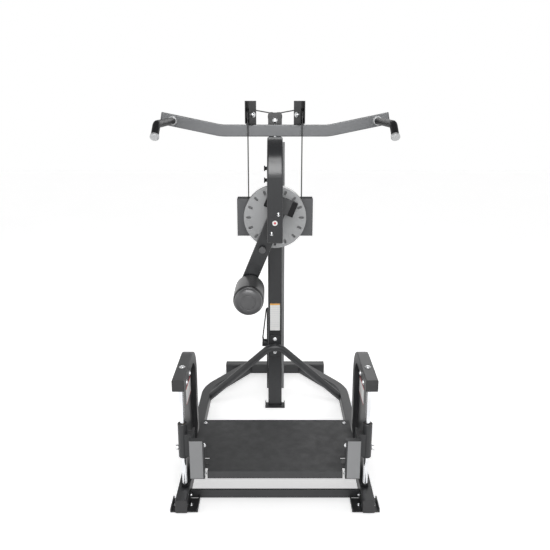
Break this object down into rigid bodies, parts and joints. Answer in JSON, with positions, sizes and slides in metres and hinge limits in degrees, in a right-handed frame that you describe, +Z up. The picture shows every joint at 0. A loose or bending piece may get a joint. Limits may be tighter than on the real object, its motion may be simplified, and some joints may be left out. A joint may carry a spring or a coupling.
{
  "type": "multi-hip exercise machine",
  "caption": "Standing hip machine with hooked column, index disc, padded swing arm, cable-lifted weight box, wide handle bar and height-adjustable platform.",
  "frame": {"origin": "middle of the machine's footprint, on the floor", "axes": "+X to the right of a viewer in front, +Y from the user's side towards the column's rear, +Z up"},
  "size_m": [1.1422, 1.43, 1.654],
  "materials": {
    "frame_black": "satin black powder coat",
    "column_paint": "satin charcoal powder coat",
    "bar_paint": "metallic grey paint",
    "block_black": "gloss black paint",
    "disc_paint": "silver grey paint",
    "cover_paint": "light grey paint",
    "box_paint": "dark grey paint",
    "iron": "black iron",
    "chrome": "polished",
    "zinc": "zinc plated",
    "bearing_steel": "machined",
    "bronze": "sintered bronze",
    "plastic_black": "moulded black plastic",
    "rubber_black": "matte rubber",
    "pad": "closed-cell foam with a smooth skin",
    "cable_black": "black coated steel cable",
    "deck_paint": "textured dark grey",
    "label": "white vinyl"
  },
  "bodies": {
    "frame": {"base_rail_left": "frame_black", "base_rail_right": "frame_black", "rear_cross_tube": "frame_black", "rear_spine": "frame_black", "front_cross_bar": "frame_black", "front_feet": "frame_black", "column_foot": "frame_black", "column": "column_paint", "front_brace": "frame_black", "hoop_left": "frame_black", "hoop_right": "frame_black", "guide_rod_left": "chrome", "guide_rod_right": "chrome", "tube_end_caps": "plastic_black", "rubber_stops": "rubber_black", "handle_bar": "bar_paint", "grip_left": "rubber_black", "grip_right": "rubber_black", "grip_ends": "chrome", "bar_saddle": "column_paint", "pulley_mast": "block_black", "side_block_left": "block_black", "side_block_right": "block_black", "pulley_axles": "zinc", "top_cables": "cable_black", "front_cables": "cable_black", "rear_cables": "cable_black", "drive_strap": "cable_black", "shaft_bearings": "bearing_steel", "cover_strip": "cover_paint", "index_strip": "frame_black", "labels": "label", "frame_bolts": "zinc", "lever_bracket": "frame_black"},
    "rotor": {"shaft": "zinc", "index_disc": "disc_paint", "disc_rim": "block_black", "cable_drum": "zinc"},
    "arm": {"swing_arm": "column_paint", "counterweight": "iron", "arm_bumpers": "rubber_black"},
    "index_pin": {"index_pin": "plastic_black"},
    "roller": {"roller_core": "plastic_black", "roller_pad": "pad"},
    "weight_carriage": {"weight_box": "box_paint", "weight_plates": "iron"},
    "drive_yoke": {"drive_yoke": "zinc"},
    "pulley_side_left": {"pulley_side_left": "plastic_black"},
    "pulley_side_right": {"pulley_side_right": "plastic_black"},
    "pulley_mid_left": {"pulley_mid_left": "plastic_black"},
    "pulley_mid_right": {"pulley_mid_right": "plastic_black"},
    "platform": {"platform_deck": "deck_paint", "platform_frame": "frame_black", "carriage_left": "frame_black", "carriage_right": "frame_black", "platform_bolts": "zinc", "slide_bushes": "bronze"},
    "platform_pin_left": {"platform_pin_left": "zinc"},
    "platform_pin_right": {"platform_pin_right": "zinc"},
    "lever": {"lever": "plastic_black"}
  },
  "joints": [
    {"name": "disc_turn", "type": "hinge", "parent": "frame", "child": "rotor", "pos_m": [0, 0.2, 1.095], "axis": [0, 1, 0], "range_deg": [0, 60]},
    {"name": "arm_index", "type": "hinge", "parent": "rotor", "child": "arm", "pos_m": [0, 0.0985, 1.095], "axis": [0, 1, 0], "range_deg": [-67.5, 67.5]},
    {"name": "index_pin_pull", "type": "slide", "parent": "arm", "child": "index_pin", "axis": [0, 1, 0], "range_m": [0, 0.012]},
    {"name": "roller_spin", "type": "hinge", "parent": "arm", "child": "roller", "pos_m": [-0.12634, 0, 0.74035], "axis": [0, 1, 0], "continuous": true},
    {"name": "weight_lift", "type": "slide", "parent": "frame", "child": "weight_carriage", "axis": [0, 0, 1], "range_m": [0, 0.0475], "deforming": ["front_cables"]},
    {"name": "yoke_slide", "type": "slide", "parent": "frame", "child": "drive_yoke", "axis": [0, 0, 1], "range_m": [-0.0475, 0], "deforming": ["rear_cables", "drive_strap"]},
    {"name": "side_pulley_left_turn", "type": "hinge", "parent": "frame", "child": "pulley_side_left", "pos_m": [-0.12075, 0.2362, 1.588], "axis": [-0.848, 0.5299, 0], "range_deg": [0, 110]},
    {"name": "side_pulley_right_turn", "type": "hinge", "parent": "frame", "child": "pulley_side_right", "pos_m": [0.12075, 0.2362, 1.588], "axis": [-0.848, -0.5299, 0], "range_deg": [0, 110]},
    {"name": "mid_pulley_left_turn", "type": "hinge", "parent": "frame", "child": "pulley_mid_left", "pos_m": [-0.02007, 0.39733, 1.574], "axis": [-0.848, 0.5299, 0], "range_deg": [0, 151]},
    {"name": "mid_pulley_right_turn", "type": "hinge", "parent": "frame", "child": "pulley_mid_right", "pos_m": [0.02007, 0.39733, 1.574], "axis": [-0.848, -0.5299, 0], "range_deg": [0, 151]},
    {"name": "platform_slide", "type": "slide", "parent": "frame", "child": "platform", "axis": [0, 0, 1], "range_m": [-0.08, 0.16]},
    {"name": "platform_pin_left_pull", "type": "slide", "parent": "platform", "child": "platform_pin_left", "axis": [1, 0, 0], "range_m": [0, 0.008]},
    {"name": "platform_pin_right_pull", "type": "slide", "parent": "platform", "child": "platform_pin_right", "axis": [-1, 0, 0], "range_m": [0, 0.008]},
    {"name": "lever_turn", "type": "hinge", "parent": "frame", "child": "lever", "pos_m": [-0.06, 0.275, 0.365], "axis": [0, -1, 0], "range_deg": [0, 20]}
  ],
  "couplings": [
    {"joint": "weight_lift", "follows": "disc_turn", "m_per_rad": 0.045},
    {"joint": "yoke_slide", "follows": "disc_turn", "m_per_rad": -0.045},
    {"joint": "side_pulley_left_turn", "follows": "disc_turn", "ratio": 1.8},
    {"joint": "side_pulley_right_turn", "follows": "disc_turn", "ratio": 1.8},
    {"joint": "mid_pulley_left_turn", "follows": "disc_turn", "ratio": 2.5},
    {"joint": "mid_pulley_right_turn", "follows": "disc_turn", "ratio": 2.5}
  ]
}
